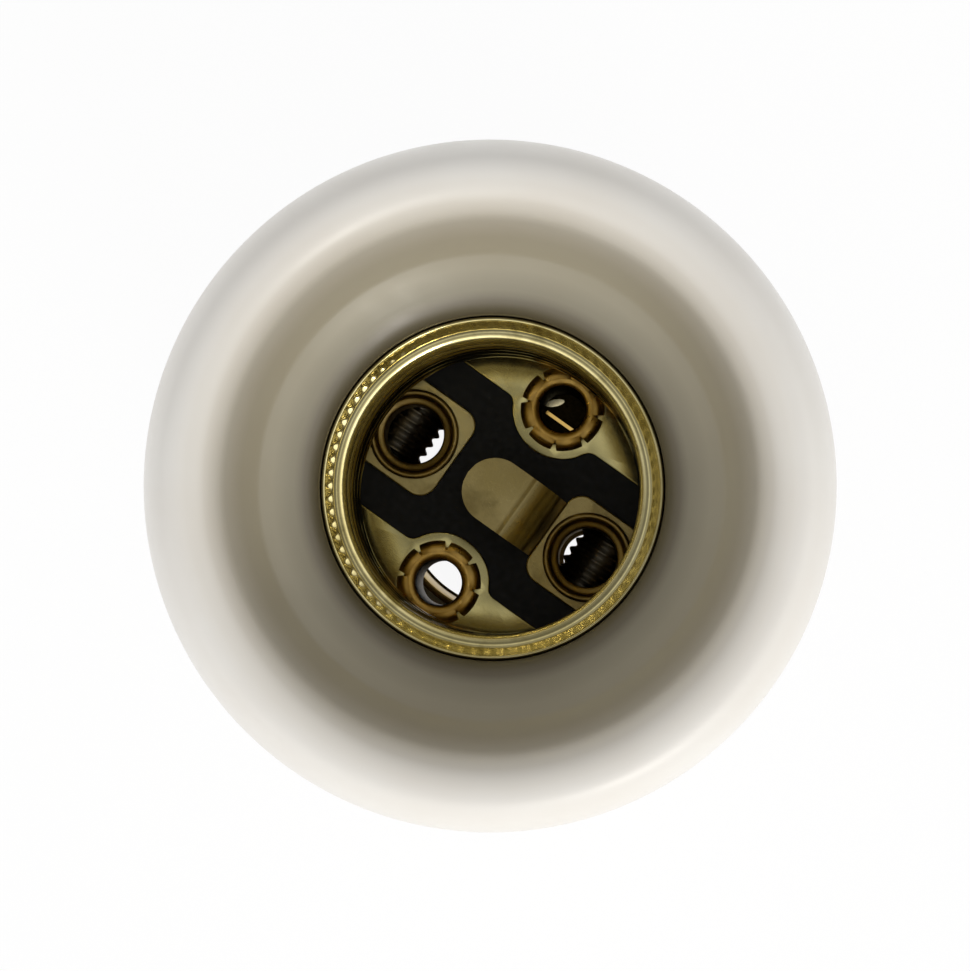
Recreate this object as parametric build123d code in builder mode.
"""Porcelain lamp holder for a small screw-cap lamp, built piece by piece.

It stands on its flat rear end with the lamp mouth up. The origin is the centre of
that rear end, and +Z is the axis of the lamp. +X runs from the shell's terminal to
the centre contact's terminal, and the two terminal screws lie along Y.
All lengths are in millimetres.
"""
from build123d import *
from math import asin, degrees, sqrt
import os

# Lip of the sleeve, outwards from the funnel, and its drops below the rim
lip_inner_width = 1.6
lip_outer_width = 1.65
lip_drop = 3.2
lip_inner_drop = 1.6
lip_inner_bulge = 0.45

# Funnel between the lip and the lamp shell
shelf_width = 0.9
cove_width = 1.3
funnel_width = 1.3
cove_drop = 5.3
shelf_drop = 6.1
throat_drop = 7.8
throat_edge = 0.35

# Outside of the two porcelain shells at and below the waist
waist_hollow = 1.05
joint_wall = 1.9
joint_band = 3.0
base_round = 4.3

# Lamp thread: pitch, crest and depth of the small Edison screw
thread_pitch = 2.822
crest_r = 6.25
thread_depth = 0.75
shell_sheet = 0.3
thread_flank = 0.52
thread_round = 0.15
crest_land = 0.7
shell_height = 16.0
collar_drop = 7.5
collar_height = 1.5
collar_flare = 0.6
collar_root = 0.4
collar_root_height = 0.6
wall_lift = 1.3
wall_height = 5.1

# Black insert
insert_height = 7.3
insert_rim = 1.7
key_width = 2.4
key_depth = 0.7

# Places of the two terminals and the two shell rivets, inwards from the thread's crest
terminal_inset = 1.39
rivet_inset = 1.39

# Bottom flange of the shell
chord_inset = 0.86
lobe_r = 2.3

# Flat contact parts, with their reach to both sides of the terminal
plate_width = 4.6
plate_reach_in = 2.21
plate_reach_out = 2.34
plate_corner = 0.85
plate_sheet = 0.45
tongue_width = 2.95
tongue_rise = 4.9
tongue_tip = 1.67
tongue_bend_r = 1.3
tongue_root_bend_r = 0.25
tongue_lean = 0.35
tongue_sheet = 0.4

# Terminal pillars
pillar_bore_r = 1.35
pillar_mouth_r = 1.62
pillar_wall = 0.4
eyelet_r = 2.05
eyelet_height = 0.42
eyelet_round = 0.5
pillar_mouth_depth = 0.6
block_height = 4.9
block_half_length = 1.9
block_inner_wall = 0.55
block_outer_wall = 0.6
spigot_length = 0.5

# Terminal screws
screw_r = 1.5
screw_offset = 0.7
screw_axis_z = 16.1
screw_head_r = 2.0
screw_head_height = 1.2
screw_slot_width = 0.6
screw_slot_depth = 0.6
screw_point = 0.4
tip_clear = 1.2

# Hollow rivets of the shell
rivet_bore_r = 1.07
rivet_wall = 0.4
rivet_head_r = 1.92
rivet_head_height = 0.5
rivet_notches = 8
rivet_notch_width = 0.42
rivet_notch_depth = 0.32
rivet_foot_r = 1.85
rivet_foot_height = 0.4

# Link strap under the insert
strap_sheet = 0.5
strap_width = 3.4
hem_cover = 1.46
hem_gap = 0.2

# Rear cap
neck_top_drop = 1.5
neck_height = 10.0
neck_wall = 1.65
cap_floor = 4.5
wiring_height = 8.7
ledge_width = 1.0
groove_pitch = 2.5
groove_count = 3
groove_first = 1.7
groove_width = 1.7
groove_land = 0.5
groove_depth = 0.4
cavity_edge = 0.8

# Ferrule in the rear hole
entry_r = 5.2
ferrule_wall = 0.4
ferrule_lip = 1.1
ferrule_flange = 0.5
ferrule_recess = 0.8

# Clearances
slide_gap = 0.3
seat_gap = 0.1
screw_gap = 0.05
insert_gap = 0.25

# Heights that follow from the sizes above
insert_bottom = cap_floor + wiring_height
floor_z = insert_bottom + insert_height
neck_top = floor_z - neck_top_drop
joint_z = neck_top - neck_height
collar_top = floor_z + shell_height
collar_bottom = collar_top - collar_height
total_height = collar_top + collar_drop

# Radii that follow, from the lamp thread outwards
root_r = crest_r + thread_depth
throat_r = root_r + shell_sheet + slide_gap
shelf_r = throat_r + shelf_width
cove_r = shelf_r + cove_width
lip_inner_r = cove_r + funnel_width
lip_crest_r = lip_inner_r + lip_inner_width
mouth_r = lip_crest_r + lip_outer_width
insert_r = root_r + shell_sheet + insert_rim
cavity_r = insert_r - ledge_width
neck_bore_r = insert_r + insert_gap
neck_r = neck_bore_r + neck_wall
skirt_r = neck_r + slide_gap
joint_r = skirt_r + joint_wall

# Places of the thread and of the pieces on the floor
terminal_place = crest_r - terminal_inset
rivet_place = crest_r - rivet_inset
chord_place = rivet_place - chord_inset
plate_inner = terminal_place - plate_reach_in
plate_outer = terminal_place + plate_reach_out
thread_bottom = floor_z + wall_height + thread_depth
thread_start = thread_bottom + thread_pitch / 2
thread_rise = collar_bottom - thread_bottom - thread_pitch
ridge_foot = (thread_pitch - crest_land) / 2
ridge_top = ridge_foot - thread_flank
groove_mouth = ridge_foot - shell_sheet
groove_bottom = groove_mouth - thread_flank
chord_half_length = sqrt((root_r + shell_sheet) ** 2 - chord_place**2)
chord_angle = degrees(asin(chord_place / (root_r + shell_sheet)))
plate_top = floor_z + plate_sheet
flange_top = floor_z + shell_sheet
strap_bottom = insert_bottom - strap_sheet
screw_place = terminal_place + screw_offset
block_inner = terminal_place - pillar_bore_r - block_inner_wall
block_outer = screw_place + screw_r + block_outer_wall
block_top = insert_bottom + block_height
pillar_r = pillar_bore_r + pillar_wall
rivet_r = rivet_bore_r + rivet_wall
head_gap = seat_gap
head_clear_r = screw_head_r + slide_gap
ferrule_r = entry_r + ferrule_wall
ferrule_flange_r = ferrule_r + ferrule_lip
ferrule_roll_r = ferrule_r + ferrule_flange
strap_corner = strap_width / 2 * sqrt(0.5)
hem_bottom = strap_bottom - rivet_foot_height - hem_gap - strap_sheet
hem_inner = rivet_place - hem_cover
hem_reach = rivet_place + rivet_foot_r + seat_gap + strap_sheet


def ring_grooves(radius, depth):
    """Corners of the round thread's grooves on a wall, from the joint upwards."""
    corners = []
    slope = (groove_width - groove_land) / 2
    for turn in range(groove_count):
        low = joint_z + groove_first + turn * groove_pitch
        corners += [
            (radius, low),
            (radius + depth, low + slope),
            (radius + depth, low + slope + groove_land),
            (radius, low + groove_width),
        ]
    return corners


# Front sleeve: flared mouth, funnel and the skirt that screws over the cap's neck
with BuildPart() as sleeve:
    band_top = (joint_r, joint_z + joint_band)
    lip_outer = (mouth_r, total_height - lip_drop)
    lip_crest = (lip_crest_r, total_height)
    lip_inner = (lip_inner_r, total_height - lip_inner_drop)
    cove = (cove_r, total_height - cove_drop)
    shelf = (shelf_r, total_height - shelf_drop)
    with BuildSketch(Plane.XZ):
        with BuildLine():
            Line((joint_r, joint_z), band_top)
            SagittaArc(band_top, lip_outer, waist_hollow)
            TangentArc(lip_outer, lip_crest, tangent=(0, 1))
            SagittaArc(lip_crest, lip_inner, -lip_inner_bulge)
            Polyline(
                lip_inner,
                cove,
                shelf,
                (throat_r + throat_edge, total_height - shelf_drop - throat_edge),
                (throat_r, total_height - throat_drop),
                (throat_r, floor_z + slide_gap),
                (skirt_r, floor_z + slide_gap),
                *reversed(ring_grooves(skirt_r, groove_depth)),
                (skirt_r, joint_z),
                (joint_r, joint_z),
            )
        make_face()
    revolve(axis=Axis.Z)

# Rear cap: dome, neck with round thread grooves, ledge for the insert, cable hole
with BuildPart() as cap:
    with BuildSketch(Plane.XZ):
        with BuildLine():
            Line((ferrule_r, 0), (joint_r - base_round, 0))
            CenterArc((joint_r - base_round, base_round), base_round, -90, 90)
            Polyline(
                (joint_r, base_round),
                (joint_r, joint_z),
                (neck_r, joint_z),
                *ring_grooves(neck_r, -groove_depth),
                (neck_r, neck_top),
                (neck_bore_r, neck_top),
                (neck_bore_r, insert_bottom),
                (cavity_r, insert_bottom),
                (cavity_r, cap_floor + cavity_edge),
                (cavity_r - cavity_edge, cap_floor),
                (ferrule_r, cap_floor),
                (ferrule_r, 0),
            )
        make_face()
    revolve(axis=Axis.Z)
    with BuildSketch(Plane.XY):
        Circle(ferrule_flange_r + seat_gap)
    extrude(amount=ferrule_recess, mode=Mode.SUBTRACT)
    with BuildSketch(Plane.XY.offset(insert_bottom)):
        with PolarLocations(insert_r, 2, start_angle=90):
            Rectangle(2 * (key_depth + seat_gap), key_width + 2 * seat_gap)
    extrude(amount=neck_top - insert_bottom, mode=Mode.SUBTRACT)

# Black insert: floor, keys, pockets for the terminal blocks, screw channels
with BuildPart() as insert:
    with BuildSketch(Plane.XY.offset(insert_bottom)):
        Circle(insert_r)
        with PolarLocations(insert_r, 2, start_angle=90):
            Rectangle(2 * key_depth, key_width)
    extrude(amount=neck_top - insert_bottom)
    with BuildSketch(Plane.XY.offset(neck_top)):
        Circle(insert_r)
    extrude(amount=floor_z - neck_top)
    pocket_length = block_outer - block_inner + 2 * seat_gap
    pocket_centre = (block_outer + block_inner) / 2
    with BuildSketch(Plane.XY.offset(insert_bottom)):
        with PolarLocations(pocket_centre, 2):
            Rectangle(pocket_length, 2 * (block_half_length + seat_gap))
    extrude(amount=block_top - insert_bottom, mode=Mode.SUBTRACT)
    with BuildSketch(Plane.XY.offset(insert_bottom)):
        with PolarLocations(terminal_place, 2):
            Circle(pillar_r + seat_gap)
        with PolarLocations(rivet_place, 2, start_angle=90):
            Circle(rivet_r + seat_gap)
    extrude(amount=insert_height, mode=Mode.SUBTRACT)
    for side in (1, -1):
        channel_plane = Plane(
            origin=(side * screw_place, side * (block_half_length + seat_gap), screw_axis_z),
            x_dir=(1, 0, 0),
            z_dir=(0, side, 0),
        )
        with BuildSketch(channel_plane):
            Circle(head_clear_r)
        extrude(amount=insert_r, mode=Mode.SUBTRACT)
        tip_plane = Plane(
            origin=(side * screw_place, 0, screw_axis_z),
            x_dir=(1, 0, 0),
            z_dir=(0, -side, 0),
        )
        with BuildSketch(tip_plane):
            Circle(screw_r + slide_gap)
        extrude(amount=block_half_length + tip_clear, mode=Mode.SUBTRACT)

# Lamp shell: rolled thread, flared collar and two flange segments with lobes
with BuildPart() as screw_shell:
    with BuildSketch(Plane.XZ):
        with BuildLine():
            Polyline(
                (root_r, floor_z),
                (root_r, floor_z + wall_height),
                (crest_r, thread_bottom),
                (crest_r, collar_bottom),
                (crest_r + collar_root, collar_bottom + collar_root_height),
                (crest_r + collar_flare, collar_top),
                (crest_r + collar_flare + shell_sheet, collar_top),
                (crest_r + collar_root + shell_sheet, collar_bottom + collar_root_height),
                (crest_r + shell_sheet, collar_bottom),
                (crest_r + shell_sheet, thread_bottom),
                (root_r + shell_sheet, floor_z + wall_height),
                (root_r + shell_sheet, floor_z),
                close=True,
            )
        make_face()
    revolve(axis=Axis.Z)
    with BuildLine() as thread_path:
        Helix(thread_pitch, thread_rise, crest_r, center=(0, 0, thread_start))
    thread_plane = Plane(origin=(crest_r, 0, thread_start), x_dir=(1, 0, 0), z_dir=(0, 1, 0))
    with BuildSketch(thread_plane) as ridge_section:
        with BuildLine():
            Polyline(
                (shell_sheet / 3, ridge_foot),
                (thread_depth + shell_sheet, ridge_top),
                (thread_depth + shell_sheet, -ridge_top),
                (shell_sheet / 3, -ridge_foot),
                close=True,
            )
        make_face()
    sweep(sections=ridge_section.sketch, path=thread_path.line, is_frenet=True)
    with BuildSketch(thread_plane) as groove_section:
        with BuildLine():
            Polyline(
                (-shell_sheet, groove_mouth + thread_round),
                (0.0, groove_mouth),
                (thread_depth, groove_bottom),
                (thread_depth, -groove_bottom),
                (0.0, -groove_mouth),
                (-shell_sheet, -groove_mouth - thread_round),
                close=True,
            )
        make_face()
    sweep(sections=groove_section.sketch, path=thread_path.line, is_frenet=True, mode=Mode.SUBTRACT)
    with BuildSketch(Plane.XY.offset(floor_z)):
        Rectangle(4 * root_r, 2 * chord_place)
    extrude(amount=wall_lift, mode=Mode.SUBTRACT)
    with BuildSketch(Plane.XY.offset(floor_z)):
        with BuildLine():
            CenterArc((0, 0), root_r + shell_sheet, chord_angle, 180 - 2 * chord_angle)
            Line(
                (-chord_half_length, chord_place),
                (chord_half_length, chord_place),
            )
        make_face()
        with Locations((0, rivet_place)):
            Circle(lobe_r)
        mirror(about=Plane.XZ)
        with BuildSketch(mode=Mode.INTERSECT):
            Circle(root_r + shell_sheet)
    extrude(amount=shell_sheet)
    with BuildSketch(Plane.XY.offset(floor_z)):
        with PolarLocations(rivet_place, 2, start_angle=90):
            Circle(rivet_r)
    extrude(amount=shell_sheet, mode=Mode.SUBTRACT)

# Plate under the eyelet of the shell's terminal
with BuildPart() as terminal_plate:
    with BuildSketch(Plane.XY.offset(floor_z)):
        with Locations((-(plate_inner + plate_outer) / 2, 0)):
            RectangleRounded(plate_outer - plate_inner, plate_width, plate_corner)
        with Locations((-terminal_place, 0)):
            Circle(pillar_r, mode=Mode.SUBTRACT)
    extrude(amount=plate_sheet)

# Centre contact: root plate, leaning leg, rolled bend and the round-ended tongue
with BuildPart() as centre_contact:
    with BuildSketch(Plane.XY.offset(floor_z)):
        with Locations(((plate_inner + plate_outer) / 2, 0)):
            RectangleRounded(plate_outer - plate_inner, plate_width, plate_corner)
        with Locations((terminal_place, 0)):
            Circle(pillar_r, mode=Mode.SUBTRACT)
    extrude(amount=plate_sheet)
    with BuildSketch(Plane.XZ) as tongue_side:
        with BuildLine() as tongue_line:
            FilletPolyline(
                (plate_inner + tongue_sheet, floor_z + tongue_sheet / 2),
                (plate_inner - tongue_sheet / 2, floor_z + tongue_sheet / 2),
                (plate_inner - tongue_sheet / 2 - tongue_lean, floor_z + tongue_rise),
                (-tongue_tip, floor_z + tongue_rise),
                radius=[tongue_root_bend_r, tongue_bend_r],
            )
        trace(line_width=tongue_sheet)
    extrude(amount=tongue_width / 2, both=True)
    with BuildSketch(Plane.XY.offset(floor_z)):
        with Locations((-tongue_tip, 0)):
            Rectangle(tongue_width, 2 * tongue_width)
        with Locations((-tongue_tip + tongue_width / 2, 0)):
            Circle(tongue_width / 2, mode=Mode.SUBTRACT)
    extrude(amount=2 * tongue_rise, mode=Mode.SUBTRACT)


def make_pillar(side):
    """Terminal pillar: tapped block, tube through the floor and the rolled eyelet."""
    with BuildPart() as pillar:
        with BuildSketch(Plane.XY.offset(insert_bottom)):
            with Locations((side * (block_inner + block_outer) / 2, 0)):
                Rectangle(block_outer - block_inner, 2 * block_half_length)
        extrude(amount=block_height)
        with BuildSketch(Plane.XY.offset(insert_bottom - spigot_length)):
            with Locations((side * terminal_place, 0)):
                Circle(pillar_r)
        extrude(amount=plate_top + eyelet_height / 2 - insert_bottom + spigot_length)
        with BuildSketch(Plane.XY.offset(plate_top)):
            with Locations((side * terminal_place, 0)):
                Circle(eyelet_r)
        extrude(amount=eyelet_height)
        eyelet_rim = pillar.edges().filter_by(GeomType.CIRCLE).group_by(Axis.Z)[-1]
        chamfer(eyelet_rim, eyelet_height * eyelet_round)
        with BuildSketch(Plane.XY.offset(insert_bottom - spigot_length)):
            with Locations((side * terminal_place, 0)):
                Circle(pillar_bore_r)
        extrude(amount=plate_top + eyelet_height - insert_bottom + spigot_length, mode=Mode.SUBTRACT)
        with BuildSketch(Plane(origin=(side * terminal_place, 0, 0), x_dir=(1, 0, 0), z_dir=(0, -1, 0))):
            with BuildLine():
                Polyline(
                    (0, plate_top + eyelet_height),
                    (pillar_mouth_r, plate_top + eyelet_height),
                    (pillar_bore_r, plate_top - pillar_mouth_depth),
                    (0, plate_top - pillar_mouth_depth),
                    close=True,
                )
            make_face()
        revolve(axis=Axis((side * terminal_place, 0, 0), (0, 0, 1)), mode=Mode.SUBTRACT)
        screw_plane = Plane(
            origin=(side * screw_place, -block_half_length, screw_axis_z),
            x_dir=(1, 0, 0),
            z_dir=(0, 1, 0),
        )
        with BuildSketch(screw_plane):
            Circle(screw_r + screw_gap)
        extrude(amount=2 * block_half_length, mode=Mode.SUBTRACT)
    return pillar.part


def make_screw(side):
    """Slotted terminal screw, its head outside the block on the given side of Y."""
    with BuildPart() as screw:
        shank_plane = Plane(
            origin=(side * screw_place, -side * (block_half_length + screw_point), screw_axis_z),
            x_dir=(1, 0, 0),
            z_dir=(0, side, 0),
        )
        with BuildSketch(shank_plane):
            Circle(screw_r)
        extrude(amount=2 * block_half_length + screw_point + head_gap)
        point_edge = screw.edges().filter_by(GeomType.CIRCLE).sort_by(Axis.Y)
        chamfer(point_edge[0] if side > 0 else point_edge[-1], screw_point)
        head_plane = Plane(
            origin=(side * screw_place, side * (block_half_length + head_gap), screw_axis_z),
            x_dir=(1, 0, 0),
            z_dir=(0, side, 0),
        )
        with BuildSketch(head_plane):
            Circle(screw_head_r)
        extrude(amount=screw_head_height)
        head_edge = screw.edges().filter_by(GeomType.CIRCLE).sort_by(Axis.Y)
        chamfer(head_edge[-1] if side > 0 else head_edge[0], screw_head_height / 5)
        with BuildSketch(head_plane.offset(screw_head_height - screw_slot_depth)):
            Rectangle(screw_slot_width, 3 * screw_head_r)
        extrude(amount=screw_slot_depth, mode=Mode.SUBTRACT)
    return screw.part


def make_rivet(side, foot_seat):
    """Hollow shell rivet: notched rolled head above the flange, plain foot below."""
    with BuildPart() as rivet:
        with BuildSketch(Plane.XY.offset(foot_seat - rivet_foot_height)):
            with Locations((0, side * rivet_place)):
                Circle(rivet_foot_r)
        extrude(amount=rivet_foot_height)
        with BuildSketch(Plane.XY.offset(foot_seat)):
            with Locations((0, side * rivet_place)):
                Circle(rivet_r)
        extrude(amount=flange_top - foot_seat)
        with BuildSketch(Plane.XY.offset(flange_top)):
            with Locations((0, side * rivet_place)):
                Circle(rivet_head_r)
        extrude(amount=rivet_head_height)
        head_rim = rivet.edges().filter_by(GeomType.CIRCLE).group_by(Axis.Z)[-1]
        chamfer(head_rim, rivet_head_height / 2)
        with BuildSketch(Plane.XY.offset(flange_top)):
            with Locations((0, side * rivet_place)):
                with PolarLocations(rivet_head_r, rivet_notches, start_angle=180 / rivet_notches):
                    Rectangle(2 * rivet_notch_depth, rivet_notch_width)
        extrude(amount=rivet_head_height, mode=Mode.SUBTRACT)
        with BuildSketch(Plane.XY.offset(foot_seat - rivet_foot_height)):
            with Locations((0, side * rivet_place)):
                Circle(rivet_bore_r)
        extrude(amount=flange_top + rivet_head_height + rivet_foot_height - foot_seat, mode=Mode.SUBTRACT)
    return rivet.part


# Link strap under the insert: from the shell's rivet to the shell's terminal block
with BuildPart() as shell_link:
    with BuildSketch(Plane.XY.offset(strap_bottom)):
        with Locations((-terminal_place, 0), (0, rivet_place)):
            Circle(strap_width / 2)
        with BuildLine():
            Polyline(
                (-terminal_place - strap_corner, strap_corner),
                (-strap_corner, rivet_place + strap_corner),
                (strap_corner, rivet_place - strap_corner),
                (-terminal_place + strap_corner, -strap_corner),
                close=True,
            )
        make_face()
        with Locations((0, (rivet_place + hem_reach) / 2)):
            Rectangle(strap_width, hem_reach - rivet_place)
    extrude(amount=strap_sheet)
    with BuildSketch(Plane.XY.offset(strap_bottom)):
        with Locations((-terminal_place, 0)):
            Circle(pillar_r)
        with Locations((0, rivet_place)):
            Circle(rivet_r)
    extrude(amount=strap_sheet, mode=Mode.SUBTRACT)
    with BuildSketch(Plane.XY.offset(hem_bottom)):
        with Locations((0, hem_reach - strap_sheet / 2)):
            Rectangle(strap_width, strap_sheet)
    extrude(amount=strap_bottom - hem_bottom)
    with BuildSketch(Plane.XY.offset(hem_bottom)):
        with Locations((0, (hem_inner + hem_reach) / 2)):
            Rectangle(strap_width, hem_reach - hem_inner)
    extrude(amount=strap_sheet)

# Ferrule that lines the cable hole of the cap
with BuildPart() as entry_ferrule:
    with BuildSketch(Plane.XZ):
        with BuildLine():
            Polyline(
                (entry_r, ferrule_recess - ferrule_flange),
                (ferrule_flange_r, ferrule_recess - ferrule_flange),
                (ferrule_flange_r, ferrule_recess),
                (ferrule_r, ferrule_recess),
                (ferrule_r, cap_floor),
                (ferrule_roll_r, cap_floor),
                (ferrule_roll_r, cap_floor + ferrule_flange),
                (entry_r, cap_floor + ferrule_flange),
                close=True,
            )
        make_face()
    revolve(axis=Axis.Z)
    roll_edge = entry_ferrule.edges().filter_by(GeomType.CIRCLE).group_by(Axis.Z)[-1]
    chamfer(roll_edge, ferrule_flange / 3)

finished = {
    "sleeve": sleeve.part,
    "cap": cap.part,
    "insert": insert.part,
    "screw_shell": screw_shell.part,
    "terminal_plate": terminal_plate.part,
    "centre_contact": centre_contact.part,
    "shell_pillar": make_pillar(-1),
    "contact_pillar": make_pillar(1),
    "shell_terminal_screw": make_screw(-1),
    "contact_terminal_screw": make_screw(1),
    "plain_rivet": make_rivet(-1, insert_bottom),
    "link_rivet": make_rivet(1, strap_bottom),
    "shell_link": shell_link.part,
    "entry_ferrule": entry_ferrule.part,
}

os.makedirs("parts", exist_ok=True)
for name, piece in finished.items():
    piece.label = name
    export_step(piece, f"parts/{name}.step")
